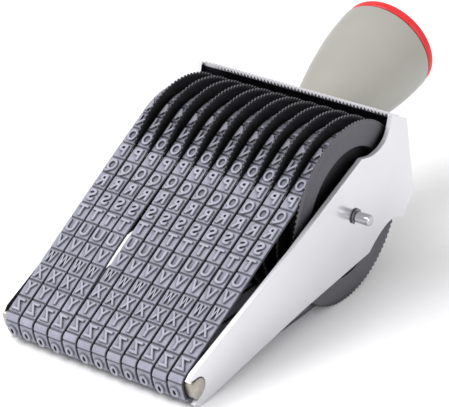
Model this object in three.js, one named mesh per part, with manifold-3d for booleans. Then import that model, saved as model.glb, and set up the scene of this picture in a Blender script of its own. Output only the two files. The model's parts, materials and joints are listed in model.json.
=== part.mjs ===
// A twelve-band rotary stamp: two tapering side plates hold an axle with twelve thumbwheels, and each
// wheel carries one rubber band that runs out round a metal nose bar and back.
// Millimetres, +Z up, +Y towards the handle, +X across the bands. The stamp lies on its plate tips and
// wheel rims, so the whole group is tilted about X and then set down on Z = 0.
import * as THREE from 'three';
import { mergeVertices } from 'three/addons/utils/BufferGeometryUtils.js';
import Module from 'manifold-3d';

const wasm = await Module();
wasm.setup();

// Driving dimensions
const BAND_COUNT = 12;
const GAP = 0.3; // clearance between neighbouring solids
const SIDE_GAP = 0.1; // clearance between a band and the rims beside it
const WHEEL_PITCH = 4.8; // from one wheel to the next along the axle
const NOSE_PITCH = 4.65; // the bands crowd together slightly at the nose
const RIM_RADIUS = 25;
const RIM_THICKNESS = 0.4;
const RIM_SEGMENTS = 32;
const BAND_RADIUS = 21.8; // over the characters, where a band runs round its wheel
const BAND_THICKNESS = 1.6;
const BAND_STEPS = 18; // chords round the wheel
const CORNER_STEPS = 4; // chords round each corner of the nose
const STRAIGHT_SHARE = 0.25; // part of each run that stays square to the axle, between the rims
const DRUM_RADIUS = BAND_RADIUS - BAND_THICKNESS - GAP;
const AXLE_RADIUS = 1.5;
const AXLE_PROUD = 4.8; // the axle past each side plate
const AXLE_SEGMENTS = 16;
const BORE_RADIUS = AXLE_RADIUS + GAP;
const GROOVE_RADIUS = 1.05;
const GROOVE_WIDTH = 0.6;
const CLIP_PLAY = 0.1; // between a clip, its groove and the plate beside it
const CLIP_RADIUS = 2.1;
const CLIP_MOUTH = 50; // degrees left open at the mouth of a clip

const NOSE_FRONT = 72.4; // axle to the faces of the characters at the nose
const BAR_THICKNESS = 5.4;
const BAR_DEPTH = 4.5;
const BAR_CORNER = 1.2;
const BAR_PROUD = 0.3; // the bar past each side plate

const PLATE_THICKNESS = 1.2;
const PLATE_INNER = (BAND_COUNT * WHEEL_PITCH) / 2 + 1; // centre plane to a plate's inner face
const PLATE_OUTER = PLATE_INNER + PLATE_THICKNESS;
const PLATE_FRONT = 71;
const TIP_HALF = 5.6;
const TIP_CHAMFER = 1.8;
const TIP_EASE = 0.7; // the tip is that much lower on its upper side
const BEND_Y = -27; // the plates toe in from here to the nose
const TOE_IN = 1.4; // at the nose, each plate
// Distance from the axle and height over the centre line, from the bend to the handle
const BEND_TOP = [BEND_Y, 10];
const WAIST_TOP = [[6.5, 13.9], [9.2, 12.4], [11.8, 11.4], [15.2, 11.1], [18, 11.8], [20, 13.6], [22, 16.9]];
const BACK_TOP = [28.2, 11.3];
const BEND_BOTTOM = [BEND_Y, -9.8];
const WAIST_BOTTOM = [[3.3, -15.3], [6.8, -13.9], [10.6, -13], [14.4, -12.9], [17.4, -14], [20, -16.6]];
const BACK_BOTTOM = [26.4, -12.2];
const WAIST_STEPS = 18;
const SPACER_THICKNESS = 0.5;
const SPACER_RADIUS = 4;

const BRIDGE_HALF = 13.2;
const BRIDGE_THICKNESS = 1.2;
const BRIDGE_FRONT = RIM_RADIUS + 0.4;
const BRIDGE_BACK = BRIDGE_FRONT + BRIDGE_THICKNESS;
const COMB_TEETH = 54;
const COMB_BASE = 12.2;
const COMB_HEIGHT = 4.5;
const COMB_TOOTH = 1.1;
const COMB_FRONT = 22.2; // the toothed edge stands over the wheels, ahead of the bridge
const COMB_THICKNESS = 0.8;

const HANDLE_OUTLINE = [
  // radius, distance from the handle's foot
  [7.8, 0],
  [8.6, 3],
  [10, 8.6],
  [11.1, 12.8],
  [12.4, 18.3],
  [13.8, 26.3],
  [14.4, 32.4],
  [14.6, 37.6],
];
const HANDLE_WALL = 2;
const HANDLE_FLOOR = 3;
const HANDLE_SEGMENTS = 28;
const CAP_RADIUS = 14.5;
const CAP_RIM = 2.3; // height of the cap's straight rim
const CAP_CROWN = 3.8; // height of the cap's domed face
const CAP_PLUG_DEPTH = 3;
const CAP_PLUG_WALL = 1.2;
const SCREW_RADIUS = 2;
const SCREW_HEAD_RADIUS = 3.6;
const SCREW_HEAD_HEIGHT = 2.4;
const SCREW_SEGMENTS = 20;
const WASHER_THICKNESS = 0.6;
const WASHER_RADIUS = 5;

// Materials
function finish(name, color, roughness, metalness) {
  return new THREE.MeshStandardMaterial({ name, color, roughness, metalness });
}

const NICKEL = finish('nickel_plate', 0xd9d8e0, 0.22, 1);
const STEEL = finish('bar_steel', 0xa8a294, 0.4, 1);
const RUBBER = finish('band_rubber', 0xa8a8b8, 0.75, 0);
const WHEEL = finish('wheel_plastic', 0x504e55, 0.5, 0);
const BLACK = finish('black_plastic', 0x101012, 0.5, 0);
const GREY = finish('handle_plastic', 0xb4b4ae, 0.45, 0);
const RED = finish('cap_plastic', 0xc82323, 0.4, 0);

const stamp = new THREE.Group();

function addPiece(name, geometry, material) {
  const mesh = new THREE.Mesh(geometry, material);
  mesh.name = name;
  stamp.add(mesh);
  return mesh;
}

function toSolid(geometry) {
  const bare = geometry.clone();
  bare.deleteAttribute('normal');
  bare.deleteAttribute('uv');
  const merged = mergeVertices(bare, 1e-4);
  return new wasm.Manifold(new wasm.Mesh({
    numProp: 3,
    vertProperties: new Float32Array(merged.attributes.position.array),
    triVerts: new Uint32Array(merged.index.array),
  }));
}

function toGeometry(solid) {
  const mesh = solid.getMesh();
  const geometry = new THREE.BufferGeometry();
  geometry.setAttribute('position', new THREE.BufferAttribute(new Float32Array(mesh.vertProperties), 3));
  geometry.setIndex(new THREE.BufferAttribute(new Uint32Array(mesh.triVerts), 1));
  geometry.computeVertexNormals();
  return geometry;
}

// An outline drawn in the stamp's side view (Y, Z), pushed along X from x0 to x1.
function slab(outline, x0, x1, holes = []) {
  const shape = new THREE.Shape(outline);
  for (const hole of holes) {
    shape.holes.push(new THREE.Path(hole));
  }
  const geometry = new THREE.ExtrudeGeometry(shape, { depth: x1 - x0, bevelEnabled: false });
  // Shape x becomes Y, shape y becomes Z and the depth becomes X.
  geometry.applyMatrix4(new THREE.Matrix4().set(0, 0, 1, x0, 1, 0, 0, 0, 0, 1, 0, 0, 0, 0, 0, 1));
  return geometry;
}

// A profile of [radius, distance] pairs turned about the X axis; it closes on itself or on the axis.
function turnedAboutX(profile, segments) {
  const points = profile.map(([radius, x]) => new THREE.Vector2(radius, x));
  return new THREE.LatheGeometry(points, segments).rotateZ(-Math.PI / 2);
}

function turnedAboutY(profile, segments) {
  const points = profile.map(([radius, y]) => new THREE.Vector2(radius, y));
  return new THREE.LatheGeometry(points, segments);
}

function arc(centreY, centreZ, radius, fromDegrees, toDegrees, steps) {
  const points = [];
  for (let step = 0; step <= steps; step += 1) {
    const angle = THREE.MathUtils.degToRad(fromDegrees + ((toDegrees - fromDegrees) * step) / steps);
    points.push(new THREE.Vector2(centreY + radius * Math.cos(angle), centreZ + radius * Math.sin(angle)));
  }
  return points;
}

const circle = (y, z, radius, segments) => arc(y, z, radius, 0, 360, segments).slice(0, -1);

// The band's path: round the wheel, straight to the nose, round the bar's two corners and back.
const CORNER_CENTRE_Z = BAR_THICKNESS / 2 - BAR_CORNER;
const CORNER_RADIUS = BAR_CORNER + GAP + BAND_THICKNESS;
const CORNER_CENTRE_Y = -(NOSE_FRONT - CORNER_RADIUS);

function bandPath(inset) {
  const wheel = BAND_RADIUS - inset;
  const corner = CORNER_RADIUS - inset;
  const reach = Math.hypot(CORNER_CENTRE_Y, CORNER_CENTRE_Z);
  const droop = Math.atan2(CORNER_CENTRE_Z, -CORNER_CENTRE_Y);
  const slope = Math.asin((BAND_RADIUS - CORNER_RADIUS) / reach) - droop;
  const leave = 90 + THREE.MathUtils.radToDeg(slope);
  const round = arc(0, 0, wheel, -leave, leave, BAND_STEPS);
  const upper = arc(CORNER_CENTRE_Y, CORNER_CENTRE_Z, corner, leave, 180, CORNER_STEPS);
  const lower = arc(CORNER_CENTRE_Y, -CORNER_CENTRE_Z, corner, 180, 360 - leave, CORNER_STEPS);
  const leaving = round[BAND_STEPS].clone().lerp(upper[0], STRAIGHT_SHARE);
  const returning = round[0].clone().lerp(lower[CORNER_STEPS], STRAIGHT_SHARE);
  return [...round, leaving, ...upper, ...lower, returning];
}

const wheelX = (index) => (index - (BAND_COUNT - 1) / 2) * WHEEL_PITCH;
const BAND_WIDTH = WHEEL_PITCH - RIM_THICKNESS - 2 * SIDE_GAP;
const number = (index) => String(index + 1).padStart(2, '0');

// A band is a ring of box sections along its path. Its nose end is drawn in towards the middle.
function bandGeometry(index) {
  const left = wheelX(index) - WHEEL_PITCH / 2 + SIDE_GAP / 2;
  const crowd = ((NOSE_PITCH - WHEEL_PITCH) * wheelX(index)) / WHEEL_PITCH;
  const outer = bandPath(0);
  const inner = bandPath(BAND_THICKNESS);
  const corners = [];
  const faces = [];
  outer.forEach((point, step) => {
    const x = point.x < -NOSE_FRONT / 2 ? left + crowd : left;
    corners.push(x, point.x, point.y);
    corners.push(x + BAND_WIDTH, point.x, point.y);
    corners.push(x + BAND_WIDTH, inner[step].x, inner[step].y);
    corners.push(x, inner[step].x, inner[step].y);
    const here = step * 4;
    const next = ((step + 1) % outer.length) * 4;
    for (let side = 0; side < 4; side += 1) {
      const other = (side + 1) % 4;
      faces.push(here + side, next + other, here + other);
      faces.push(here + side, next + side, next + other);
    }
  });
  const geometry = new THREE.BufferGeometry();
  geometry.setAttribute('position', new THREE.Float32BufferAttribute(corners, 3));
  geometry.setIndex(faces);
  geometry.computeVertexNormals();
  return geometry;
}

function wheelGeometry(index) {
  const left = wheelX(index) - WHEEL_PITCH / 2 + SIDE_GAP / 2;
  const rimRight = left + WHEEL_PITCH - SIDE_GAP;
  const rimLeft = rimRight - RIM_THICKNESS;
  return turnedAboutX([
    [BORE_RADIUS, left],
    [DRUM_RADIUS, left],
    [DRUM_RADIUS, rimLeft],
    [RIM_RADIUS, rimLeft],
    [RIM_RADIUS, rimRight],
    [BORE_RADIUS, rimRight],
    [BORE_RADIUS, left],
  ], RIM_SEGMENTS);
}

for (let index = 0; index < BAND_COUNT; index += 1) {
  addPiece(`thumbwheel_${number(index)}`, wheelGeometry(index), WHEEL);
  addPiece(`character_band_${number(index)}`, bandGeometry(index), RUBBER);
}

// Side plates, each with an open notch for the nose bar and a hole for the axle
const BAR_BACK_RADIUS = BAR_THICKNESS / 2;
const BAR_FRONT = NOSE_FRONT - BAND_THICKNESS - GAP;
const BAR_BACK_CENTRE = -(BAR_FRONT - BAR_DEPTH + BAR_BACK_RADIUS);

const toPoints = (pairs) => pairs.map(([y, z]) => new THREE.Vector2(y, z));
const smooth = (pairs) => new THREE.SplineCurve(toPoints(pairs)).getPoints(WAIST_STEPS);

// From the bend to the handle
function plateBack() {
  return [
    ...toPoints([BEND_TOP]),
    ...smooth(WAIST_TOP),
    ...toPoints([BACK_TOP, BACK_BOTTOM]),
    ...smooth(WAIST_BOTTOM).reverse(),
    ...toPoints([BEND_BOTTOM]),
  ].reverse();
}

// From the bend to the nose
function plateFront() {
  const notch = BAR_BACK_RADIUS + GAP;
  return [
    ...toPoints([BEND_BOTTOM]),
    new THREE.Vector2(-PLATE_FRONT + TIP_CHAMFER, -TIP_HALF),
    new THREE.Vector2(-PLATE_FRONT, -TIP_HALF + TIP_CHAMFER),
    ...arc(BAR_BACK_CENTRE, 0, notch, -90, 90, 14),
    new THREE.Vector2(-PLATE_FRONT, TIP_HALF - TIP_CHAMFER),
    new THREE.Vector2(-PLATE_FRONT + TIP_CHAMFER, TIP_HALF - TIP_EASE),
    ...toPoints([BEND_TOP]),
  ].reverse();
}

function rectangle(y0, y1, z0, z1) {
  return [
    new THREE.Vector2(y0, z0),
    new THREE.Vector2(y1, z0),
    new THREE.Vector2(y1, z1),
    new THREE.Vector2(y0, z1),
  ];
}

function sidePlate(name, side) {
  const edges = [side * PLATE_INNER, side * PLATE_OUTER].sort((a, b) => a - b);
  const axleHole = circle(0, 0, BORE_RADIUS, AXLE_SEGMENTS).reverse();
  const back = toSolid(slab(plateBack(), edges[0], edges[1], [axleHole]));
  const lean = (side * TOE_IN) / (PLATE_FRONT + BEND_Y);
  const toe = new THREE.Matrix4().set(1, lean, 0, -lean * BEND_Y, 0, 1, 0, 0, 0, 0, 1, 0, 0, 0, 0, 1);
  const front = toSolid(slab(plateFront(), edges[0], edges[1]).applyMatrix4(toe));
  addPiece(name, toGeometry(back.add(front)), NICKEL);
}

sidePlate('side_plate_left', -1);
sidePlate('side_plate_right', 1);

// Bridge plate between the side plates, with a hole for the handle's screw
const bridgeHole = new THREE.CylinderGeometry(SCREW_RADIUS + GAP, SCREW_RADIUS + GAP, 4, SCREW_SEGMENTS)
  .translate(0, BRIDGE_FRONT + BRIDGE_THICKNESS / 2, 0);
const webOutline = rectangle(BRIDGE_FRONT, BRIDGE_BACK, -BRIDGE_HALF, BRIDGE_HALF);
const web = slab(webOutline, -PLATE_INNER, PLATE_INNER);
addPiece('bridge_plate', toGeometry(toSolid(web).subtract(toSolid(bridgeHole))), NICKEL);

// Toothed strip: an angle whose foot meets the bridge, its teeth standing over the wheels
function combGeometry() {
  const half = PLATE_INNER - GAP;
  const pitch = (2 * half) / COMB_TEETH;
  const shape = new THREE.Shape();
  shape.moveTo(-half, COMB_BASE);
  shape.lineTo(half, COMB_BASE);
  for (let tooth = COMB_TEETH - 1; tooth >= 0; tooth -= 1) {
    shape.lineTo(-half + pitch * (tooth + 1), COMB_BASE + COMB_HEIGHT - COMB_TOOTH);
    shape.lineTo(-half + pitch * (tooth + 0.5), COMB_BASE + COMB_HEIGHT);
  }
  shape.lineTo(-half, COMB_BASE + COMB_HEIGHT - COMB_TOOTH);
  const teeth = new THREE.ExtrudeGeometry(shape, { depth: COMB_THICKNESS, bevelEnabled: false })
    .rotateX(Math.PI / 2)
    .translate(0, COMB_FRONT + COMB_THICKNESS, 0);
  const footFront = COMB_FRONT + COMB_THICKNESS / 2;
  const outline = rectangle(footFront, BRIDGE_FRONT - GAP, COMB_BASE, COMB_BASE + COMB_THICKNESS);
  const foot = slab(outline, -half, half);
  return toGeometry(toSolid(teeth).add(toSolid(foot)));
}

addPiece('comb_strip', combGeometry(), STEEL);

// Axle with a groove and a retaining clip outside each plate
const AXLE_END = PLATE_OUTER + AXLE_PROUD;
const GROOVE_INNER = PLATE_OUTER + CLIP_PLAY / 2;
const GROOVE_OUTER = GROOVE_INNER + GROOVE_WIDTH;
const half = [
  [GROOVE_RADIUS, GROOVE_INNER + 0.01],
  [GROOVE_RADIUS, GROOVE_OUTER - 0.01],
  [AXLE_RADIUS, GROOVE_OUTER],
  [AXLE_RADIUS, AXLE_END - 0.4],
  [AXLE_RADIUS - 0.4, AXLE_END],
  [0, AXLE_END],
];
const axleProfile = [
  ...half.map(([radius, x]) => [radius, -x]).reverse(),
  [AXLE_RADIUS, -GROOVE_INNER],
  [AXLE_RADIUS, GROOVE_INNER],
  ...half,
];
addPiece('axle', turnedAboutX(axleProfile, AXLE_SEGMENTS), NICKEL);

function clip(name, side) {
  const inner = GROOVE_RADIUS + CLIP_PLAY;
  const outline = [
    ...arc(0, 0, CLIP_RADIUS, -90 + CLIP_MOUTH, 270 - CLIP_MOUTH, 20),
    ...arc(0, 0, inner, 270 - CLIP_MOUTH, -90 + CLIP_MOUTH, 14),
  ];
  const near = GROOVE_INNER + CLIP_PLAY;
  const far = GROOVE_OUTER - CLIP_PLAY;
  const edges = [side * near, side * far].sort((a, b) => a - b);
  addPiece(name, slab(outline, edges[0], edges[1]), BLACK);
}

clip('axle_clip_left', -1);
clip('axle_clip_right', 1);

// Spacer washers between the outer wheels and the plates
function spacer(name, centre) {
  const profile = [
    [BORE_RADIUS, centre - SPACER_THICKNESS / 2],
    [SPACER_RADIUS, centre - SPACER_THICKNESS / 2],
    [SPACER_RADIUS, centre + SPACER_THICKNESS / 2],
    [BORE_RADIUS, centre + SPACER_THICKNESS / 2],
    [BORE_RADIUS, centre - SPACER_THICKNESS / 2],
  ];
  addPiece(name, turnedAboutX(profile, AXLE_SEGMENTS), NICKEL);
}

spacer('axle_spacer_left', (-PLATE_INNER - (BAND_COUNT * WHEEL_PITCH) / 2) / 2);
spacer('axle_spacer_right', (PLATE_INNER + (BAND_COUNT * WHEEL_PITCH) / 2) / 2);

// Nose bar: flat front with eased edges, round back, held in the plates' notches
const barOutline = [
  ...arc(CORNER_CENTRE_Y, -CORNER_CENTRE_Z, BAR_CORNER, 270, 180, CORNER_STEPS),
  ...arc(CORNER_CENTRE_Y, CORNER_CENTRE_Z, BAR_CORNER, 180, 90, CORNER_STEPS),
  ...arc(BAR_BACK_CENTRE, 0, BAR_BACK_RADIUS, 90, -90, 10),
].reverse();
const barHalf = PLATE_OUTER - TOE_IN + BAR_PROUD;
addPiece('nose_bar', slab(barOutline, -barHalf, barHalf), STEEL);

// Handle: a flared shell whose floor is screwed to the bridge, closed by a red cap
const FOOT = BRIDGE_BACK + GAP;
const FLOOR_TOP = FOOT + HANDLE_FLOOR;
const [MOUTH_RADIUS, HANDLE_LENGTH] = HANDLE_OUTLINE[HANDLE_OUTLINE.length - 1];
const inside = HANDLE_OUTLINE
  .filter(([, along]) => along >= HANDLE_FLOOR)
  .map(([radius, along]) => [radius - HANDLE_WALL, FOOT + along])
  .reverse();
const handleProfile = [
  [SCREW_RADIUS + GAP, FOOT],
  ...HANDLE_OUTLINE.map(([radius, along]) => [radius, FOOT + along]),
  ...inside,
  [SCREW_RADIUS + GAP, FLOOR_TOP],
  [SCREW_RADIUS + GAP, FOOT],
];
addPiece('handle', turnedAboutY(handleProfile, HANDLE_SEGMENTS), GREY);

const CAP_BASE = FOOT + HANDLE_LENGTH + GAP;
const PLUG_RADIUS = MOUTH_RADIUS - HANDLE_WALL - GAP - 0.1;
const capProfile = [
  [0, CAP_BASE],
  [PLUG_RADIUS - CAP_PLUG_WALL, CAP_BASE],
  [PLUG_RADIUS - CAP_PLUG_WALL, CAP_BASE - CAP_PLUG_DEPTH],
  [PLUG_RADIUS, CAP_BASE - CAP_PLUG_DEPTH],
  [PLUG_RADIUS, CAP_BASE],
  [CAP_RADIUS, CAP_BASE],
  [CAP_RADIUS - 0.2, CAP_BASE + CAP_RIM],
  [CAP_RADIUS - 1.6, CAP_BASE + (CAP_RIM + CAP_CROWN) / 2],
  [CAP_RADIUS / 2, CAP_BASE + CAP_CROWN - 0.2],
  [0, CAP_BASE + CAP_CROWN],
];
addPiece('handle_cap', turnedAboutY(capProfile, HANDLE_SEGMENTS), RED);

const WASHER_BASE = FLOOR_TOP + GAP;
const washerProfile = [
  [SCREW_RADIUS + GAP, WASHER_BASE],
  [WASHER_RADIUS, WASHER_BASE],
  [WASHER_RADIUS, WASHER_BASE + WASHER_THICKNESS],
  [SCREW_RADIUS + GAP, WASHER_BASE + WASHER_THICKNESS],
  [SCREW_RADIUS + GAP, WASHER_BASE],
];
addPiece('handle_washer', turnedAboutY(washerProfile, SCREW_SEGMENTS), NICKEL);

const HEAD_BASE = WASHER_BASE + WASHER_THICKNESS + GAP;
const screwProfile = [
  [0, BRIDGE_FRONT],
  [SCREW_RADIUS, BRIDGE_FRONT],
  [SCREW_RADIUS, HEAD_BASE],
  [SCREW_HEAD_RADIUS, HEAD_BASE],
  [SCREW_HEAD_RADIUS, HEAD_BASE + SCREW_HEAD_HEIGHT - 0.6],
  [SCREW_HEAD_RADIUS - 0.9, HEAD_BASE + SCREW_HEAD_HEIGHT],
  [0, HEAD_BASE + SCREW_HEAD_HEIGHT],
];
addPiece('handle_screw', turnedAboutY(screwProfile, SCREW_SEGMENTS), NICKEL);

// Lay the stamp down: a line from the plate tips' lower corners touches the wheel rims underneath.
const tipY = PLATE_FRONT - TIP_CHAMFER;
const tilt = Math.asin(RIM_RADIUS / Math.hypot(tipY, TIP_HALF)) - Math.atan2(TIP_HALF, tipY);
stamp.rotation.x = tilt;
stamp.updateMatrixWorld(true);
const box = new THREE.Box3().setFromObject(stamp, true);
const centre = box.getCenter(new THREE.Vector3());
stamp.position.set(-centre.x, -centre.y, -box.min.z);

const model = new THREE.Group();
model.add(stamp);

export default model;
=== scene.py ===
"""A twelve-band rotary stamp, finished round its fixed frame: rubber character bands, knurled
thumbwheels, nickel-plated side plates, a flared handle with a red cap, and a small studio."""
import json
import math
import random

import bpy
from mathutils import Matrix, Vector


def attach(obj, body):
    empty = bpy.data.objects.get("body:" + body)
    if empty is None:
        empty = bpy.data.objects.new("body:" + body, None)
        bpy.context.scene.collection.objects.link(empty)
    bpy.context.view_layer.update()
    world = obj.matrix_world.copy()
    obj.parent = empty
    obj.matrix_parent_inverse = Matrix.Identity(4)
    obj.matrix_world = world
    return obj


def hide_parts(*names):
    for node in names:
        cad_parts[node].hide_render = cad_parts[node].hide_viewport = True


bl_info = {
    "name": "Rotary band stamp",
    "version": (1, 0, 0),
    "blender": (4, 5, 0),
    "location": "View3D > Sidebar > Stamp",
    "description": "Builds the visible pieces and finishes of a twelve-band rotary stamp",
    "category": "Add Mesh",
}

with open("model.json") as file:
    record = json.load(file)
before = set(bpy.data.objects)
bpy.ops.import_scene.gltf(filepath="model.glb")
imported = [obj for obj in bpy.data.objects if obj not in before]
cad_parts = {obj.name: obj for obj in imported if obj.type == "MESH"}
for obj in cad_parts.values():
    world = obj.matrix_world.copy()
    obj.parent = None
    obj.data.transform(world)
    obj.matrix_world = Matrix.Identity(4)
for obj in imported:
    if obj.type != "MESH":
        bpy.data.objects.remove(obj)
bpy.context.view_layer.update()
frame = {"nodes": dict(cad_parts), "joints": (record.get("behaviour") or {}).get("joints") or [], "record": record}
MM = 0.001

# The stamp lies tilted. Pieces are made in its own side view, with the middle of the axle at the
# origin, +Y towards the handle and +Z square to the long axis, and are then laid down in the frame.
RECORD = frame["record"]
JOINTS = {joint["name"]: joint for joint in frame["joints"]}
BAND_COUNT = len(JOINTS)
AXLE = Vector(JOINTS["wheel_01_spin"]["pos_m"])
WHEEL_PITCH = JOINTS["wheel_02_spin"]["pos_m"][0] - AXLE.x
PRINT_FACE = next(mount for mount in RECORD["mounts"] if mount["name"] == "print_face")
TILT = math.asin(-PRINT_FACE["axis"][2])
LAY_DOWN = Matrix.Translation((0, AXLE.y, AXLE.z)) @ Matrix.Rotation(TILT, 4, "X")
STAND_UP = LAY_DOWN.inverted()


def upright_points(node):
    """A CAD node's vertices in the stamp's own side view."""
    return [STAND_UP @ vertex.co for vertex in frame["nodes"][node].data.vertices]


def upright_box(node):
    """A CAD node's lowest and highest corners in the stamp's own side view."""
    points = upright_points(node)
    low = Vector([min(point[axis] for point in points) for axis in range(3)])
    high = Vector([max(point[axis] for point in points) for axis in range(3)])
    return low, high


def turned_outline(node):
    """The outer outline of a CAD node turned about the long axis: (radius, distance) pairs."""
    widest = {}
    for point in upright_points(node):
        along = round(point.y, 6)
        widest[along] = max(widest.get(along, 0.0), math.hypot(point.x, point.z))
    return [(widest[along], along) for along in sorted(widest)]


def length(name, description, default):
    """A length that a user can change."""
    return bpy.props.FloatProperty(
        name=name, description=description, default=default, precision=5, unit="LENGTH"
    )


def colour(name, description, default):
    """A linear colour that a user can change."""
    return bpy.props.FloatVectorProperty(
        name=name, description=description, default=default, size=3, subtype="COLOR", min=0, max=1
    )


class StampSizes(bpy.types.PropertyGroup):
    """Sizes that the frame leaves open."""

    cell_count: bpy.props.IntProperty(
        name="Cells", description="Character cells round one band", default=43, min=36, max=60
    )
    band_width: length("Band width", "Width of a rubber band", 4.2 * MM)
    band_thickness: length("Band thickness", "From a band's back to its printing faces", 1.6 * MM)
    belt_back: length("Belt back", "From the stretch line down to a band's back", 0.6 * MM)
    pad_height: length("Pad height", "From the stretch line up to a cell's pad", 0.42 * MM)
    groove_width: length("Groove width", "Groove between two cells", 0.32 * MM)
    groove_floor: length("Groove floor", "From the stretch line up to a groove's floor", 0.1 * MM)
    pad_edge: length("Pad edge", "Chamfer round a pad", 0.16 * MM)
    letter_length: length("Letter length", "Height of a letter along its band", 3.5 * MM)
    letter_width: length("Letter width", "Width of the widest characters", 2.8 * MM)
    digit_length: length("Digit length", "Height of a digit or sign along its band", 2.9 * MM)
    blank: length("Blank", "Plain stretch between the last digit and the first letter", 2.2 * MM)
    letter_weight: bpy.props.FloatProperty(
        name="Letter weight", description="How far the strokes are fattened", default=0.03
    )
    band_stagger: length("Band stagger", "How far bands stand out of line with each other", 0.42 * MM)
    bar_corner: length("Bar corner", "Radius of the nose bar's front edges", 1.2 * MM)
    clearance: length("Clearance", "Between a band and what it runs on", 0.3 * MM)
    slack_band: bpy.props.IntProperty(
        name="Slack band", description="Last of the bands that lean away to the left", default=4
    )
    slack: length("Slack", "Lean shared out over those bands, most of it at the last", 0.86 * MM)
    rim_thickness: length("Rim thickness", "Thickness of a wheel's knurled rim", 0.4 * MM)
    dish_radius: length("Dish radius", "Where a wheel's right face steps down", 18.0 * MM)
    dish_depth: length("Dish depth", "How deep that step is", 2.2 * MM)
    rim_gap: length("Rim gap", "Between a band and the rim beside it", 0.1 * MM)
    knurl_depth: length("Knurl depth", "Depth of the teeth round a rim", 0.45 * MM)
    knurl_teeth: bpy.props.IntProperty(
        name="Knurl teeth", description="Teeth round one rim", default=110, min=24, max=240
    )
    bore_radius: length("Bore radius", "Bore of a thumbwheel", 1.8 * MM)
    sheet_edge: length("Sheet edge", "Rounding along the edges of the sheet metal", 0.14 * MM)


class StampFinishes(bpy.types.PropertyGroup):
    """Colours of the finishes."""

    nickel: colour("Nickel", "Plated sheet and turned parts", (0.74, 0.735, 0.765))
    bar_steel: colour("Bar steel", "Nose bar and toothed strip", (0.42, 0.39, 0.34))
    dark_steel: colour("Dark steel", "Blackened toothed strip and clips", (0.03, 0.03, 0.034))
    rubber: colour("Band rubber", "Belts and pads", (0.252, 0.252, 0.312))
    character: colour("Character rubber", "Worn, dusty printing faces", (0.312, 0.312, 0.372))
    rubber_shade: colour("Rubber in shade", "Grooves of the belts", (0.105, 0.105, 0.13))
    wheel: colour("Wheel plastic", "Thumbwheels", (0.070, 0.067, 0.082))
    handle: colour("Handle plastic", "Flared handle", (0.315, 0.308, 0.275))
    cap: colour("Cap plastic", "End cap of the handle", (0.60, 0.014, 0.018))
    floor: colour("Floor", "Studio floor and sweep", (0.86, 0.86, 0.87))


class StampStage(bpy.types.PropertyGroup):
    """The studio: camera and lights."""

    azimuth: bpy.props.FloatProperty(
        name="Azimuth", description="Camera's turn round the stamp", default=math.radians(36.06),
        subtype="ANGLE",
    )
    elevation: bpy.props.FloatProperty(
        name="Elevation", description="Camera's height above the floor", default=math.radians(26.34),
        subtype="ANGLE",
    )
    distance: length("Distance", "Camera to the aiming point", 554.6 * MM)
    aim_ahead: length("Aim ahead", "How far ahead of the axle the aim is set out", 0.94 * MM)
    aim_height: length("Aim height", "Height that the aim is set out from", 28 * MM)
    aim_right: length("Aim right", "Aiming point to the right in the picture", -7.85 * MM)
    aim_up: length("Aim up", "Aiming point upwards in the picture", -7.23 * MM)
    lens: bpy.props.FloatProperty(
        name="Lens", description="Focal length on a 36 mm wide sensor", default=169.25,
        subtype="DISTANCE_CAMERA",
    )
    key_power: bpy.props.FloatProperty(
        name="Key power", description="Large soft light over the nose, in watts", default=6.0
    )
    fill_power: bpy.props.FloatProperty(
        name="Fill power", description="Soft light on the plate's side, in watts", default=3.0
    )
    sky: bpy.props.FloatProperty(
        name="Sky", description="Strength of the even surrounding light", default=0.8
    )


# ---- Finishes -------------------------------------------------------------------------------


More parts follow.
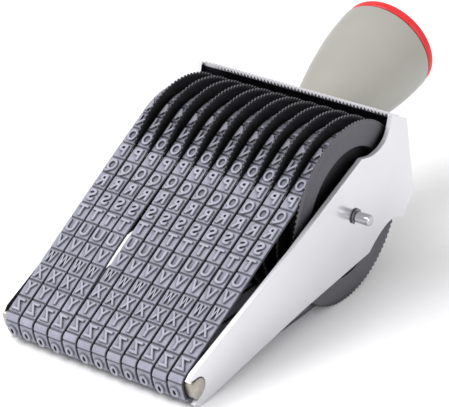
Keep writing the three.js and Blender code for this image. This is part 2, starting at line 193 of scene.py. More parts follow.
class Finish:
    """A procedural material under construction."""

    def __init__(self, name, base, roughness, metallic=0.0):
        self.material = bpy.data.materials.new(name)
        self.material.use_nodes = True
        self.tree = self.material.node_tree
        self.shader = self.tree.nodes["Principled BSDF"]
        self.shader.inputs["Base Color"].default_value = (*base, 1)
        self.shader.inputs["Roughness"].default_value = roughness
        self.shader.inputs["Metallic"].default_value = metallic
        self.place = self.tree.nodes.new("ShaderNodeTexCoord").outputs["Object"]

    def node(self, kind, **settings):
        node = self.tree.nodes.new(kind)
        for key, value in settings.items():
            setattr(node, key, value)
        return node

    def link(self, output, socket):
        self.tree.links.new(output, socket)

    def stretched(self, scale, turn=(0.0, 0.0, 0.0)):
        """Object coordinates turned and scaled, for grain that runs one way."""
        mapping = self.node("ShaderNodeMapping")
        mapping.inputs["Rotation"].default_value = turn
        mapping.inputs["Scale"].default_value = scale
        self.link(self.place, mapping.inputs["Vector"])
        return mapping.outputs["Vector"]

    def noise(self, scale, detail=4.0, rough=0.55, vector=None):
        noise = self.node("ShaderNodeTexNoise")
        noise.inputs["Scale"].default_value = scale
        noise.inputs["Detail"].default_value = detail
        noise.inputs["Roughness"].default_value = rough
        self.link(vector or self.place, noise.inputs["Vector"])
        return noise.outputs["Fac"]

    def spread(self, source, low, high, start=0.3, end=0.7):
        """Maps a grey texture from start..end to low..high."""
        span = self.node("ShaderNodeMapRange")
        span.inputs["From Min"].default_value = start
        span.inputs["From Max"].default_value = end
        span.inputs["To Min"].default_value = low
        span.inputs["To Max"].default_value = high
        self.link(source, span.inputs["Value"])
        return span.outputs["Result"]

    def colours(self, source, stops):
        """Colours the shader by a grey texture through (position, colour) stops."""
        ramp = self.node("ShaderNodeValToRGB")
        elements = ramp.color_ramp.elements
        while len(elements) < len(stops):
            elements.new(0.5)
        for element, (position, tint) in zip(elements, stops):
            element.position = position
            element.color = (*tint, 1)
        self.link(source, ramp.inputs["Fac"])
        self.link(ramp.outputs["Color"], self.shader.inputs["Base Color"])

    def painted_crevice_shade(self, reach, dark, start=0.35, end=0.95):
        """Paints shade into the colour where other surfaces stand close by."""
        # Ambient occlusion darkens the base colour here: painted shade.
        hollow = self.node("ShaderNodeAmbientOcclusion", samples=6)
        hollow.inputs["Distance"].default_value = reach
        mix = self.node("ShaderNodeMix", data_type="RGBA", blend_type="MULTIPLY")
        mix.inputs["Factor"].default_value = 1.0
        tint = self.shader.inputs["Base Color"]
        self.link(tint.links[0].from_socket, mix.inputs[6])
        self.link(self.spread(hollow.outputs["AO"], dark, 1.0, start, end), mix.inputs[7])
        self.link(mix.outputs[2], tint)

    def rough(self, source, low, high):
        self.link(self.spread(source, low, high), self.shader.inputs["Roughness"])

    def bump(self, *layers):
        """Stacks (height texture, depth in metres, strength) layers into the normal."""
        normal = None
        for height, depth, strength in layers:
            bump = self.node("ShaderNodeBump")
            bump.inputs["Distance"].default_value = depth
            bump.inputs["Strength"].default_value = strength
            self.link(height, bump.inputs["Height"])
            if normal:
                self.link(normal, bump.inputs["Normal"])
            normal = bump.outputs["Normal"]
        self.link(normal, self.shader.inputs["Normal"])


def shade(tint, factor):
    """A colour made darker or lighter."""
    return tuple(min(1.0, channel * factor) for channel in tint)


def nickel_plate(name, tint, cut_edge):
    """Bright plating with faint grain and handling smears; cut edges may be duller than the faces."""
    finish = Finish(name, tint, 0.22, 1.0)
    grain = finish.noise(900, 3, 0.6, finish.stretched((1.0, 0.05, 1.0), (-TILT, 0, 0)))
    smears = finish.noise(38, 5, 0.6)
    clouds = finish.noise(120, 6, 0.65)
    finish.colours(smears, [(0.25, shade(tint, 0.93)), (0.55, tint), (0.8, shade(tint, 1.04))])
    across = finish.node("ShaderNodeSeparateXYZ")
    finish.link(finish.node("ShaderNodeNewGeometry").outputs["True Normal"], across.inputs[0])
    face = finish.node("ShaderNodeMath", operation="ABSOLUTE")
    finish.link(across.outputs["X"], face.inputs[0])
    cut = finish.spread(face.outputs["Value"], cut_edge, 0.0, 0.3, 0.8)
    total = finish.node("ShaderNodeMath", operation="ADD")
    finish.link(finish.spread(clouds, 0.15, 0.22), total.inputs[0])
    finish.link(cut, total.inputs[1])
    finish.link(total.outputs["Value"], finish.shader.inputs["Roughness"])
    finish.bump((grain, 0.00001, 0.15))
    return finish.material


def bar_steel(tint):
    """Drawn bar with cross scratches and slight oil staining."""
    finish = Finish("bar_steel", tint, 0.4, 1.0)
    scratches = finish.noise(1500, 4, 0.7, finish.stretched((0.04, 1.0, 1.0)))
    stain = finish.noise(160, 5, 0.6)
    finish.colours(stain, [(0.3, shade(tint, 0.7)), (0.55, tint), (0.75, shade(tint, 1.3))])
    finish.rough(scratches, 0.28, 0.5)
    finish.bump((scratches, 0.00004, 0.4))
    return finish.material


def toothed_steel(dark, bright):
    """Blackened strip with a painted highlight: its teeth are coloured bright above their roots, with a little
    random wear.
    """
    finish = Finish("toothed_steel", dark, 0.4, 1.0)
    root = upright_box("comb_strip")[1].z - 1.1 * MM
    height = finish.node("ShaderNodeVectorMath", operation="DOT_PRODUCT")
    height.inputs[1].default_value = (0, -math.sin(TILT), math.cos(TILT))
    finish.link(finish.node("ShaderNodeNewGeometry").outputs["Position"], height.inputs[0])
    base = root + Vector((0, -math.sin(TILT), math.cos(TILT))).dot(AXLE)
    rub = finish.noise(800, 4, 0.6)
    cut = finish.node("ShaderNodeMath", operation="ADD")
    # Painted highlight: bright above the tooth roots, as if the teeth caught the light from above.
    tooth_highlight = finish.spread(height.outputs["Value"], 0.0, 1.0, base - 0.2 * MM, base + 0.1 * MM)
    finish.link(tooth_highlight, cut.inputs[0])
    finish.link(finish.spread(rub, 0.0, 0.12, 0.5, 0.8), cut.inputs[1])
    finish.colours(cut.outputs["Value"], [(0.0, dark), (0.3, shade(dark, 2.0)), (0.8, bright)])
    finish.rough(rub, 0.35, 0.5)
    finish.bump((rub, 0.00003, 0.3))
    return finish.material


def dark_spring_steel(tint):
    """Blackened spring steel, rubbed a little brighter in places."""
    finish = Finish("dark_spring_steel", tint, 0.35, 1.0)
    wear = finish.noise(900, 4, 0.6)
    finish.colours(wear, [(0.4, tint), (0.7, shade(tint, 3.0))])
    finish.rough(wear, 0.28, 0.5)
    return finish.material


def band_rubber(name, tint, dust):
    """Matt moulded rubber: mottled bloom, fine pores, edges dusted with talc, and painted shade in its hollows."""
    finish = Finish(name, tint, 0.7)
    bloom = finish.noise(260, 6, 0.65)
    pores = finish.noise(5200, 3, 0.6)
    patches = finish.noise(1300, 4, 0.6)
    finish.colours(bloom, [(0.28, shade(tint, 0.84)), (0.52, tint), (0.78, shade(tint, dust))])
    finish.rough(patches, 0.58, 0.82)
    finish.bump((pores, 0.00003, 0.35), (patches, 0.00006, 0.35))
    # Painted shade in the grooves, in the seams between bands and round the letters.
    finish.painted_crevice_shade(1.2 * MM, 0.12)
    finish.shader.inputs["Specular IOR Level"].default_value = 0.35
    finish.shader.inputs["Sheen Weight"].default_value = 0.15
    finish.shader.inputs["Sheen Roughness"].default_value = 0.5
    return finish.material


def wheel_plastic(tint):
    """Dark moulded plastic, finely sparked, with paler scuffs and painted shade close to the plates and
    neighbouring wheels.
    """
    finish = Finish("wheel_plastic", tint, 0.5)
    spark = finish.noise(3200, 3, 0.6)
    scuffs = finish.noise(420, 6, 0.7)
    finish.colours(scuffs, [(0.35, shade(tint, 0.85)), (0.6, tint), (0.8, shade(tint, 1.7))])
    # Painted shade: strong darkening within 7 mm of other surfaces, deepest beside the side plate.
    finish.painted_crevice_shade(7 * MM, 0.04, 0.45, 0.92)
    finish.rough(scuffs, 0.38, 0.58)
    finish.bump((spark, 0.00004, 0.35))
    return finish.material


def handle_plastic(tint):
    """Warm grey satin plastic: very fine spark grain, faint flow clouds and hand polish."""
    finish = Finish("handle_plastic", tint, 0.36)
    grain = finish.noise(4200, 2, 0.5)
    flow = finish.noise(46, 4, 0.55)
    polish = finish.noise(110, 5, 0.6)
    finish.colours(flow, [(0.3, shade(tint, 0.95)), (0.55, tint), (0.75, shade(tint, 1.04))])
    finish.rough(polish, 0.30, 0.44)
    finish.bump((grain, 0.00002, 0.25))
    finish.shader.inputs["Coat Weight"].default_value = 0.12
    finish.shader.inputs["Coat Roughness"].default_value = 0.2
    return finish.material


def cap_plastic(tint):
    """Red gloss plastic, a little duller where it is rubbed."""
    finish = Finish("cap_plastic", tint, 0.3)
    flow = finish.noise(180, 4, 0.55)
    grain = finish.noise(3600, 2, 0.5)
    finish.colours(flow, [(0.3, shade(tint, 0.85)), (0.55, tint), (0.8, shade(tint, 1.15))])
    finish.rough(flow, 0.22, 0.38)
    finish.bump((grain, 0.00002, 0.3))
    return finish.material


def floor_card(tint):
    """Matt studio card."""
    finish = Finish("studio_card", tint, 0.9)
    fibre = finish.noise(300, 5, 0.6)
    finish.colours(fibre, [(0.3, shade(tint, 0.99)), (0.7, shade(tint, 1.01))])
    finish.bump((fibre, 0.00005, 0.1))
    return finish.material


MAKERS = {
    "nickel_plate": lambda tints: nickel_plate("nickel_plate", tints.nickel, 0.45),
    "dark_spring_steel": lambda tints: dark_spring_steel(shade(tints.dark_steel, 4.0)),
    "turned_nickel": lambda tints: nickel_plate("turned_nickel", shade(tints.nickel, 0.72), 0.0),
    "bar_steel": lambda tints: bar_steel(tints.bar_steel),
    "toothed_steel": lambda tints: toothed_steel(tints.dark_steel, tints.nickel),
    "band_rubber": lambda tints: band_rubber("band_rubber", tints.rubber, 1.25),
    "character_rubber": lambda tints: band_rubber("character_rubber", tints.character, 1.12),
    "rubber_shade": lambda tints: band_rubber("rubber_shade", tints.rubber_shade, 1.3),
    # The belt sides are painted much darker than the grooves: painted shade in the seams between bands.
    "rubber_side_in_shade": lambda tints: band_rubber("rubber_side_in_shade", shade(tints.rubber_shade, 0.3), 1.3),
    "wheel_plastic": lambda tints: wheel_plastic(tints.wheel),
    "handle_plastic": lambda tints: handle_plastic(tints.handle),
    "cap_plastic": lambda tints: cap_plastic(tints.cap),
    "studio_card": lambda tints: floor_card(tints.floor),
}


MADE = {}


def material(name):
    """The named finish, made the first time that it is asked for."""
    if name not in MADE:
        MADE[name] = MAKERS[name](bpy.context.scene.stamp_finishes)
    return MADE[name]


# ---- Mesh helpers ---------------------------------------------------------------------------


def add_piece(name, points, faces, body, slot, replaced=(), materials=(), indices=None, sharp=35):
    """Lays a mesh made in the side view down in the frame, and gives it its body and finish."""
    mesh = bpy.data.meshes.new(name)
    mesh.from_pydata([LAY_DOWN @ Vector(point) for point in points], [], faces)
    for finish in materials or (slot,):
        mesh.materials.append(material(finish))
    if indices:
        mesh.polygons.foreach_set("material_index", indices)
    mesh.validate()
    mesh.shade_smooth()
    mesh.set_sharp_from_angle(angle=math.radians(sharp))
    piece = bpy.data.objects.new(name, mesh)
    bpy.context.scene.collection.objects.link(piece)
    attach(piece, body)
    if replaced:
        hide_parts(*replaced)
    return piece


def ring_mesh(rings, closed):
    """Joins rings of points with quads. A ring of one point is a pole; closed joins last to first."""
    points = []
    starts = []
    for ring in rings:
        starts.append(len(points))
        points.extend(ring)
    faces = []
    pairs = list(zip(range(len(rings)), range(1, len(rings))))
    if closed:
        pairs.append((len(rings) - 1, 0))
    for here, there in pairs:
        count = max(len(rings[here]), len(rings[there]))
        for index in range(count):
            after = (index + 1) % count
            corners = [
                starts[here] + index % len(rings[here]),
                starts[here] + after % len(rings[here]),
                starts[there] + after % len(rings[there]),
                starts[there] + index % len(rings[there]),
            ]
            faces.append(list(dict.fromkeys(corners)))
    return points, faces


def turned_along_y(outline, segments):
    """Rings for an outline of (radius, distance) pairs turned about the long axis."""
    rings = []
    for radius, along in outline:
        if radius < 1e-6:
            rings.append([(0.0, along, 0.0)])
            continue
        angles = [math.tau * step / segments for step in range(segments)]
        rings.append([(radius * math.cos(a), along, -radius * math.sin(a)) for a in angles])
    return rings


def turned_along_x(outline, segments):
    """The same about the axle, for (radius, distance) pairs."""
    return [[(y, x, -z) for x, y, z in ring] for ring in turned_along_y(outline, segments)]


def eased(outline, steps):
    """A smooth outline through the given (radius, distance) points."""
    points = [Vector((radius, along)) for radius, along in outline]
    smooth = []
    for index in range(len(points) - 1):
        before = points[max(index - 1, 0)]
        start, end = points[index], points[index + 1]
        after = points[min(index + 2, len(points) - 1)]
        for step in range(steps):
            t = step / steps
            blend = 2 * start + (end - before) * t
            blend += (2 * before - 5 * start + 4 * end - after) * t * t
            blend += (3 * start - before - 3 * end + after) * t ** 3
            smooth.append(tuple(blend / 2))
    smooth.append(tuple(points[-1]))
    return smooth


# ---- Character bands ------------------------------------------------------------------------


class BandPath:
    """The stretch line of a band: up from the nose, round its wheel and back under to the nose."""

    def __init__(self, sizes):
        low, high = upright_box("character_band_01")
        bar_low, bar_high = upright_box("nose_bar")
        self.depth = sizes.band_thickness - sizes.belt_back
        self.wheel = high.y - self.depth
        self.corner = sizes.bar_corner + sizes.clearance + sizes.belt_back
        self.corner_z = (bar_high.z - bar_low.z) / 2 - sizes.bar_corner
        self.nose_y = low.y + self.depth
        self.corner_y = self.nose_y + self.corner
        reach = math.hypot(self.corner_y, self.corner_z)
        self.slope = math.asin((self.wheel - self.corner) / reach)
        self.slope -= math.atan2(self.corner_z, -self.corner_y)
        self.leave = math.pi / 2 + self.slope
        self.run = math.sqrt(reach ** 2 - (self.wheel - self.corner) ** 2)
        bend = (math.pi - self.leave) * self.corner
        self.first_cell = self.corner_z + bend
        self.legs = [self.corner_z, bend, self.run, 2 * self.leave * self.wheel, self.run, bend]
        self.length = sum(self.legs) + self.corner_z

    def at(self, along):
        """(y, z) of the stretch line and its outward normal, at a distance up from the nose."""
        along %= self.length
        leg = 0
        while leg < len(self.legs) and along > self.legs[leg]:
            along -= self.legs[leg]
            leg += 1
        if leg == 0:
            return (self.nose_y, along), (-1.0, 0.0)
        if leg == 1:
            return self.on_arc(self.corner_y, self.corner_z, self.corner, math.pi - along / self.corner)
        if leg == 2:
            return self.on_run(along, 1)
        if leg == 3:
            return self.on_arc(0.0, 0.0, self.wheel, self.leave - along / self.wheel)
        if leg == 4:
            return self.on_run(self.run - along, -1)
        if leg == 5:
            angle = -self.leave - along / self.corner
            return self.on_arc(self.corner_y, -self.corner_z, self.corner, angle)
        return (self.nose_y, along - self.corner_z), (-1.0, 0.0)

    def on_arc(self, y, z, radius, angle):
        normal = (math.cos(angle), math.sin(angle))
        return (y + radius * normal[0], z + radius * normal[1]), normal

    def on_run(self, from_nose, side):
        normal = (math.cos(self.leave), side * math.sin(self.leave))
        y = self.corner_y + self.corner * normal[0] + from_nose * math.cos(self.slope)
        z = side * (self.corner_z + from_nose * math.sin(self.slope)) + self.corner * normal[1]
        return (y, z), normal


# Bands carry the alphabet up from the nose, backwards, and the digits underneath it.
SIGNS = [".", "-", "/", "&", ",", "(", ")"]
LETTERS = [chr(ord("Z") - step) for step in range(26)]
DIGITS = ["9", "8", "7", "6", "5", "4", "3", "2", "1", "0"]


def letter_shapes(sizes):
    """For each character, its points as (across, along, share of the relief) and its faces."""
    shapes = {}
    for sign in dict.fromkeys(LETTERS + SIGNS + DIGITS):
        curve = bpy.data.curves.new("character", "FONT")
        curve.body = sign
        curve.resolution_u = 4
        curve.extrude = 0.05
        curve.bevel_depth = 0.018
        curve.bevel_resolution = 0
        curve.offset = sizes.letter_weight - curve.bevel_depth
        holder = bpy.data.objects.new("character", curve)
        bpy.context.scene.collection.objects.link(holder)
        bpy.context.view_layer.update()
        mesh = bpy.data.meshes.new_from_object(holder.evaluated_get(
            bpy.context.evaluated_depsgraph_get()
        ))
        shapes[sign] = (
            [tuple(vertex.co) for vertex in mesh.vertices],
            [tuple(polygon.vertices) for polygon in mesh.polygons],
        )
        bpy.data.meshes.remove(mesh)
        bpy.data.objects.remove(holder)
        bpy.data.curves.remove(curve)
    cap = shapes["H"][0]
    foot = min(point[1] for point in cap)
    scale = sizes.letter_length / (max(point[1] for point in cap) - foot)
    middle = foot + sizes.letter_length / scale / 2
    depth = max(point[2] for point in cap)
    for sign, (points, faces) in shapes.items():
        tall = 1.0 if sign in LETTERS else sizes.digit_length / sizes.letter_length
        left = min(point[0] for point in points)
        right = max(point[0] for point in points)
        fit = min(1.0, sizes.letter_width / ((right - left) * scale))
        placed = [
            (
                -(x - (left + right) / 2) * scale * fit,
                (y - middle) * scale * tall,
                0.5 + 0.5 * z / depth,
            )
            for x, y, z in points
        ]
        shapes[sign] = (placed, [tuple(reversed(face)) for face in faces])
    return shapes


def band_cells(sizes, path, start):
    """(start, end, sign) of each cell up from the nose; the last cell is the blank stretch."""
    pitch = path.length / sizes.cell_count
    lower = (path.length - len(LETTERS) * pitch - sizes.blank) / len(SIGNS + DIGITS)
    cells = []
    for sign in LETTERS + SIGNS + DIGITS + [""]:
        step = pitch if sign in LETTERS else lower
        step = step if sign else sizes.blank
        cells.append((start, start + step, sign))
        start += step
    return cells


def band_section(sizes, raised):
    """A band's section as (across, height): its back, its sides, and its pad where it is raised."""
    half = sizes.band_width / 2
    edge = sizes.pad_edge
    top = sizes.pad_height if raised else sizes.groove_floor + edge / 4
    floor = sizes.groove_floor
    return [
        (-half + edge, -sizes.belt_back),
        (half - edge, -sizes.belt_back),
        (half, -sizes.belt_back + edge),
        (half, floor - edge / 2),
        (half - edge / 2, floor),
        (half - edge, top),
        (-half + edge, top),
        (-half + edge / 2, floor),
        (-half, floor - edge / 2),
        (-half, -sizes.belt_back + edge),
    ]


# The bands draw together over this share of a run, counted from the nose.
CROWD_REACH = 0.75
# The slack bands lean most at this share of the way from the axle to the nose bar, and the lean
# dies out at this share of that distance to either side.
LEAN_CENTRE = 0.62
LEAN_REACH = 0.6
RELIEF_OVERLAP = 0.05 * MM
STATIONS = 8


def make_band(index, sizes, path, shapes):
    """One rubber band: belt, pads and raised characters."""
    chance = random.Random(index + 11)
    number = f"{index + 1:02d}"
    centre = AXLE.x + index * WHEEL_PITCH - sizes.rim_thickness / 2 - sizes.rim_gap / 2
    box_low, box_high = upright_box(f"character_band_{number}")
    spare = (box_high.x - box_low.x) - sizes.band_width
    crowd = spare if index < BAND_COUNT / 2 else -spare
    turn_in = path.corner_y + CROWD_REACH * path.run * math.cos(path.slope)
    stagger = chance.uniform(-1, 1) * sizes.band_stagger

    def place(across, along, height):
        (y, z), (normal_y, normal_z) = path.at(along)
        share = min(1.0, max(0.0, (turn_in - y) / (turn_in - path.corner_y)))
        x = centre + crowd * share + across
        if z > 0 and index < sizes.slack_band:
            middle = path.corner_y * LEAN_CENTRE
            away = min(1.0, abs((y - middle) / (middle * LEAN_REACH)))
            sway = math.cos(math.pi / 2 * away) ** 2
            x -= sizes.slack * (index + 0.5) / sizes.slack_band * sway
        return (x, y + normal_y * height, z + normal_z * height)

    cells = band_cells(sizes, path, path.first_cell + stagger)
    groove = sizes.groove_width / 2
    rings = []
    for start, end, _ in cells:
        top = [start + groove + sizes.pad_edge, end - groove - sizes.pad_edge]
        stations = [(start, False), (start + groove, False)]
        stations += [(top[0] + (top[1] - top[0]) * step / 4, True) for step in range(5)]
        stations.append((end - groove, False))
        for along, raised in stations:
            rings.append([place(across, along, height) for across, height in band_section(sizes, raised)])
    points, faces = ring_mesh(rings, closed=True)
    section = len(rings[0])
    indices = []
    # Belt sides take the side rubber, painted dark as shade between bands; grooves and chamfers take the rubber in
    # shade.
    for face in range(len(faces)):
        station, edge = face // section % STATIONS, face % section
        top = edge == 5 and 1 <= station <= 6 or edge in (4, 6) and 2 <= station <= 5
        side = edge not in (0, 4, 5, 6)
        indices.append(0 if top or edge == 0 else 3 if side else 2)

    relief_floor = sizes.pad_height - RELIEF_OVERLAP
    relief = sizes.band_thickness - sizes.belt_back - relief_floor
    for start, end, sign in cells:
        if not sign:
            continue
        shape, shape_faces = shapes[sign]
        offset = len(points)
        middle = (start + end) / 2
        points += [place(u, middle + v, relief_floor + h * relief) for u, v, h in shape]
        faces += [tuple(offset + corner for corner in face) for face in shape_faces]
        indices += [1 if min(shape[corner][2] for corner in face) > 0.97 else 0 for face in shape_faces]
    finishes = ("band_rubber", "character_rubber", "rubber_shade", "rubber_side_in_shade")
    add_piece(
        f"rubber_band_{number}", points, faces, "frame", "band_rubber",
        [f"character_band_{number}"], finishes, indices, 28,
    )


class STAMP_OT_bands(bpy.types.Operator):
    """Makes the twelve rubber bands with their raised, mirrored characters"""

    bl_idname = "stamp.bands"
    bl_label = "Character bands"

    def execute(self, context):
        sizes = context.scene.stamp_sizes
        path = BandPath(sizes)
        shapes = letter_shapes(sizes)
        for index in range(BAND_COUNT):
            make_band(index, sizes, path, shapes)
        return {"FINISHED"}


# ---- Thumbwheels ----------------------------------------------------------------------------


RIM_HEIGHT = 5.1 * MM
HUB_RADIUS = 8.0 * MM


def make_wheel(index, sizes):
    """One thumbwheel: a drum for the band and a thin knurled rim on its right."""
    number = f"{index + 1:02d}"
    low, high = upright_box(f"thumbwheel_{number}")
    radius = high.y
    drum = radius - RIM_HEIGHT
    rim_left = high.x - sizes.rim_thickness
    soft = 0.08 * MM
    root = radius - sizes.knurl_depth - 0.3 * MM
    web = high.x - 0.1 * MM
    dish = high.x - sizes.dish_depth
    outline = [
        (sizes.bore_radius, low.x, False),
        (drum - soft, low.x, False),
        (drum, low.x + soft, False),
        (drum, rim_left, False),
        (root, rim_left, False),
        (radius - soft, rim_left, True),
        (radius, rim_left + soft, True),
        (radius, high.x - soft, True),
        (radius - soft, high.x, True),
        (root, high.x, False),
        (root - 1.0 * MM, high.x, False),
        (root - 1.2 * MM, web, False),
        (sizes.dish_radius, web, False),
        (sizes.dish_radius - 0.5 * MM, dish, False),
        (HUB_RADIUS + 0.8 * MM, dish, False),
        (HUB_RADIUS, high.x, False),
        (sizes.bore_radius, high.x, False),
    ]
    rings = []
    steps = sizes.knurl_teeth * 4
    for ring_radius, x, toothed in outline:
        ring = []
        for step in range(steps):
            dip = sizes.knurl_depth if toothed and step % 4 in (0, 3) else 0.0
            angle = math.tau * step / steps
            reach = ring_radius - dip
            ring.append((x, reach * math.cos(angle), -reach * math.sin(angle)))
        rings.append(ring)
    points, faces = ring_mesh(rings, closed=True)
    faces = [tuple(reversed(face)) for face in faces]
    add_piece(
        f"knurled_wheel_{number}", points, faces, f"wheel_{number}", "wheel_plastic",
        [f"thumbwheel_{number}"], sharp=40,
    )


class STAMP_OT_wheels(bpy.types.Operator):
    """Makes the twelve knurled thumbwheels"""

    bl_idname = "stamp.wheels"
    bl_label = "Thumbwheels"

    def execute(self, context):
        for index in range(BAND_COUNT):
            make_wheel(index, context.scene.stamp_sizes)
        return {"FINISHED"}


# ---- Sheet metal and bar --------------------------------------------------------------------


def ease_edges(node, width, angle=40):
    """Joins a CAD node's corners and rounds its edges without touching the mesh itself."""
    piece = frame["nodes"][node]
    piece.data.shade_smooth()
    weld = piece.modifiers.new("join corners", "WELD")
    weld.merge_threshold = 0.00001
    bevel = piece.modifiers.new("rounded edges", "BEVEL")
    bevel.width = width
    bevel.segments = 2
    bevel.limit_method = "ANGLE"
    bevel.angle_limit = math.radians(angle)
    flat = piece.modifiers.new("flat faces", "WEIGHTED_NORMAL")
    flat.weight = 100


def repaint(node, finish):
    """Gives a CAD node one finish in place of its own."""
    piece = frame["nodes"][node]
    piece.data.materials.clear()
    piece.data.materials.append(material(finish))


class STAMP_OT_metalwork(bpy.types.Operator):
    """Finishes the side plates, bridge, toothed strip, nose bar and small metal parts"""

    bl_idname = "stamp.metalwork"
    bl_label = "Metalwork"

    def execute(self, context):
        edge = context.scene.stamp_sizes.sheet_edge
        sheet = ["side_plate_left", "side_plate_right", "bridge_plate"]
        turned = ["axle_spacer_left", "axle_spacer_right", "handle_washer", "handle_screw"]
        clips = ["axle_clip_left", "axle_clip_right"]
        for node in sheet:
            repaint(node, "nickel_plate")
        for node in turned:
            repaint(node, "turned_nickel")
        for node in clips:
            repaint(node, "dark_spring_steel")
        repaint("nose_bar", "bar_steel")
        repaint("comb_strip", "toothed_steel")
        for node in sheet + ["nose_bar"]:
            ease_edges(node, edge)
        for node in turned + clips:
            ease_edges(node, edge / 2)
        return {"FINISHED"}


CLIP_GROOVE_DEPTH = 0.45 * MM
CLIP_GROOVE_WIDTH = 0.6 * MM
# How far in from the radius, and back from the end, the axle's rounded end runs.
AXLE_ROUNDING = [(0.0, 0.45 * MM), (0.06 * MM, 0.25 * MM), (0.2 * MM, 0.08 * MM), (0.42 * MM, 0.0)]


class STAMP_OT_axle(bpy.types.Operator):
    """Turns the axle with its clip grooves and rounded ends"""

    bl_idname = "stamp.axle"
    bl_label = "Axle"

    def execute(self, context):
        high = upright_box("axle")[1]
        radius = high.y
        floor = radius - CLIP_GROOVE_DEPTH
        near = upright_box("side_plate_right")[1].x + 0.05 * MM
        far = near + CLIP_GROOVE_WIDTH
        slope = 0.01 * MM
        end = [(radius, near), (floor, near + slope), (floor, far - slope), (radius, far)]
        end += [(radius - inset, high.x - setback) for inset, setback in AXLE_ROUNDING]
        end.append((0.0, high.x))
        outline = [(r, -x) for r, x in reversed(end)] + end
        points, faces = ring_mesh(turned_along_x(outline, 64), closed=False)
        add_piece(
            "turned_axle", points, faces, "frame", "nickel_plate", ["axle"], ["turned_nickel"], sharp=50
        )
        return {"FINISHED"}


# ---- Handle ---------------------------------------------------------------------------------


SHELL_WALL = 2 * MM
SHELL_FLOOR = 3 * MM
SCREW_HOLE = 2.3 * MM
TURNED_SEGMENTS = 128
# A fine circle reaches past the flats of the CAD cap, so it is drawn this much smaller.
CAP_INSET = 0.12 * MM
CAP_PLUG_PLAY = 0.4 * MM
CAP_PLUG_WALL = 1.2 * MM
CAP_ROUNDING = (1.3 * MM, 0.9 * MM)
CAP_RIM_HEIGHT = 1.9 * MM


class STAMP_OT_handle(bpy.types.Operator):
    """Makes the flared handle shell and its red end cap"""

    bl_idname = "stamp.handle"
    bl_label = "Handle and cap"

    def execute(self, context):
        outline = turned_outline("handle")
        foot = outline[0][1]
        mouth_radius, mouth = outline[-1]
        soft = 0.35 * MM
        outside = [(radius, along) for radius, along in outline if along <= mouth]
        flare = [(radius, along) for radius, along in eased(outside[1:], 6)]
        outside = [(outside[0][0] - soft, foot), (outside[0][0], foot + soft)] + flare[1:-1]
        outside += [(mouth_radius, mouth - soft), (mouth_radius - soft, mouth)]
        inside = [(max(radius - SHELL_WALL, SCREW_HOLE), along) for radius, along in reversed(flare[4:])]
        inside = [(mouth_radius - SHELL_WALL, mouth)] + inside
        floor = foot + SHELL_FLOOR
        inside = [(radius, along) for radius, along in inside if along > floor]
        bore = [(inside[-1][0], floor), (SCREW_HOLE, floor), (SCREW_HOLE, foot)]
        rings = turned_along_y(outside + inside + bore, TURNED_SEGMENTS)
        points, faces = ring_mesh(rings, closed=True)
        add_piece("flared_handle", points, faces, "frame", "handle_plastic", ["handle"], sharp=60)

        cap = turned_outline("handle_cap")
        crown = max(along for radius, along in cap)
        rim_radius = max(radius for radius, along in cap) - CAP_INSET
        base = min(along for radius, along in cap if radius > rim_radius)
        plug = min(along for radius, along in cap)
        plug_radius = mouth_radius - SHELL_WALL - CAP_PLUG_PLAY
        hollow_radius = plug_radius - CAP_PLUG_WALL
        rim = [(rim_radius - 0.15 * MM, base), (rim_radius, base + 0.15 * MM)]
        steps = 12
        for step in range(steps + 1):
            angle = math.pi / 2 * step / steps
            reach = rim_radius - CAP_ROUNDING[0] * (1 - math.cos(angle))
            rim.append((reach, base + CAP_RIM_HEIGHT + CAP_ROUNDING[1] * math.sin(angle)))
        dome = rim[-1]
        for step in range(1, 9):
            share = step / 8
            rim.append((dome[0] * (1 - share), dome[1] + (crown - dome[1]) * (1 - (1 - share) ** 2)))
        under = [
            (0.0, base),
            (hollow_radius, base),
            (hollow_radius, plug),
            (plug_radius, plug),
            (plug_radius, base),
        ]
        points, faces = ring_mesh(turned_along_y(under + rim, TURNED_SEGMENTS), closed=False)
        add_piece("red_cap", points, faces, "frame", "cap_plastic", ["handle_cap"], sharp=50)
        return {"FINISHED"}


# ---- Stage ----------------------------------------------------------------------------------


KEY_PLACE = (-0.35, -0.45, 0.65)
FILL_PLACE = (0.8, -0.35, 0.35)
LIGHT_AIM = (0, 0, 0.02)


def soft_box(name, place, size, power):
    """A square area light aimed at the stamp."""
    light = bpy.data.lights.new(name, "AREA")
    light.energy = power
    light.size = size
    lamp = bpy.data.objects.new(name, light)
    lamp.location = place
    lamp.rotation_mode = "QUATERNION"
    lamp.rotation_quaternion = (Vector(LIGHT_AIM) - Vector(place)).to_track_quat("-Z", "Y")
    bpy.context.scene.collection.objects.link(lamp)


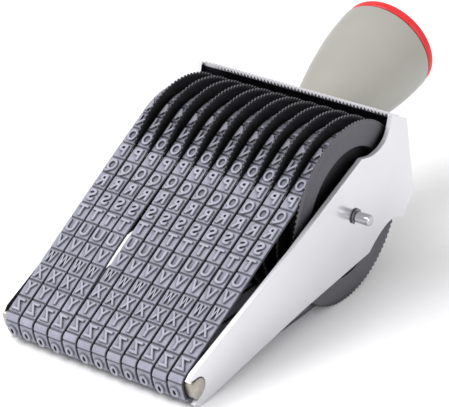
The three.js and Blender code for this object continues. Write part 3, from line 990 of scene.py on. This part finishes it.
class STAMP_OT_stage(bpy.types.Operator):
    """Sets up the pale floor, the soft lights and the camera"""

    bl_idname = "stamp.stage"
    bl_label = "Studio"

    def execute(self, context):
        scene = context.scene
        stage = scene.stamp_stage
        mesh = bpy.data.meshes.new("floor")
        half = 3.0
        corners = [(-half, -half, 0), (half, -half, 0), (half, half, 0), (-half, half, 0)]
        mesh.from_pydata(corners, [], [(0, 1, 2, 3)])
        mesh.materials.append(material("studio_card"))
        floor = bpy.data.objects.new("floor", mesh)
        scene.collection.objects.link(floor)

        world = bpy.data.worlds.new("studio")
        world.use_nodes = True
        world.node_tree.nodes["Background"].inputs["Color"].default_value = (1, 1, 1, 1)
        world.node_tree.nodes["Background"].inputs["Strength"].default_value = stage.sky
        scene.world = world
        soft_box("key", KEY_PLACE, 0.5, stage.key_power)
        soft_box("fill", FILL_PLACE, 0.6, stage.fill_power)

        turn, rise = stage.azimuth, stage.elevation
        back = Vector((math.sin(turn) * math.cos(rise), -math.cos(turn) * math.cos(rise), math.sin(rise)))
        right = Vector((math.cos(turn), math.sin(turn), 0))
        aim = Vector((0, AXLE.y - stage.aim_ahead, stage.aim_height))
        aim += right * stage.aim_right + back.cross(right) * stage.aim_up
        camera = bpy.data.cameras.new("camera")
        camera.sensor_width = 36
        camera.lens = stage.lens
        camera.clip_start = 0.01
        holder = bpy.data.objects.new("camera", camera)
        holder.location = aim + back * stage.distance
        holder.rotation_mode = "QUATERNION"
        holder.rotation_quaternion = (-back).to_track_quat("-Z", "Y")
        scene.collection.objects.link(holder)
        scene.camera = holder
        scene.view_settings.view_transform = "Standard"
        return {"FINISHED"}


class STAMP_PT_panel(bpy.types.Panel):
    """Lists the stamp's sizes, finishes and makers"""

    bl_idname = "STAMP_PT_panel"
    bl_label = "Rotary band stamp"
    bl_space_type = "VIEW_3D"
    bl_region_type = "UI"
    bl_category = "Stamp"

    def draw(self, context):
        for operator in OPERATORS:
            self.layout.operator(operator.bl_idname)
        for group in (context.scene.stamp_sizes, context.scene.stamp_finishes, context.scene.stamp_stage):
            column = self.layout.column()
            for name in group.__annotations__:
                column.prop(group, name)


GROUPS = {"stamp_sizes": StampSizes, "stamp_finishes": StampFinishes, "stamp_stage": StampStage}
OPERATORS = [
    STAMP_OT_bands, STAMP_OT_wheels, STAMP_OT_metalwork, STAMP_OT_axle, STAMP_OT_handle, STAMP_OT_stage,
]


def register():
    for name, group in GROUPS.items():
        bpy.utils.register_class(group)
        setattr(bpy.types.Scene, name, bpy.props.PointerProperty(type=group))
    for operator in OPERATORS:
        bpy.utils.register_class(operator)
    bpy.utils.register_class(STAMP_PT_panel)


def unregister():
    bpy.utils.unregister_class(STAMP_PT_panel)
    for operator in reversed(OPERATORS):
        bpy.utils.unregister_class(operator)
    for name, group in GROUPS.items():
        delattr(bpy.types.Scene, name)
        bpy.utils.unregister_class(group)


def main():
    register()
    bpy.ops.stamp.stage()
    bpy.ops.stamp.metalwork()
    bpy.ops.stamp.axle()
    bpy.ops.stamp.handle()
    bpy.ops.stamp.wheels()
    bpy.ops.stamp.bands()


if __name__ == "__main__":
    main()
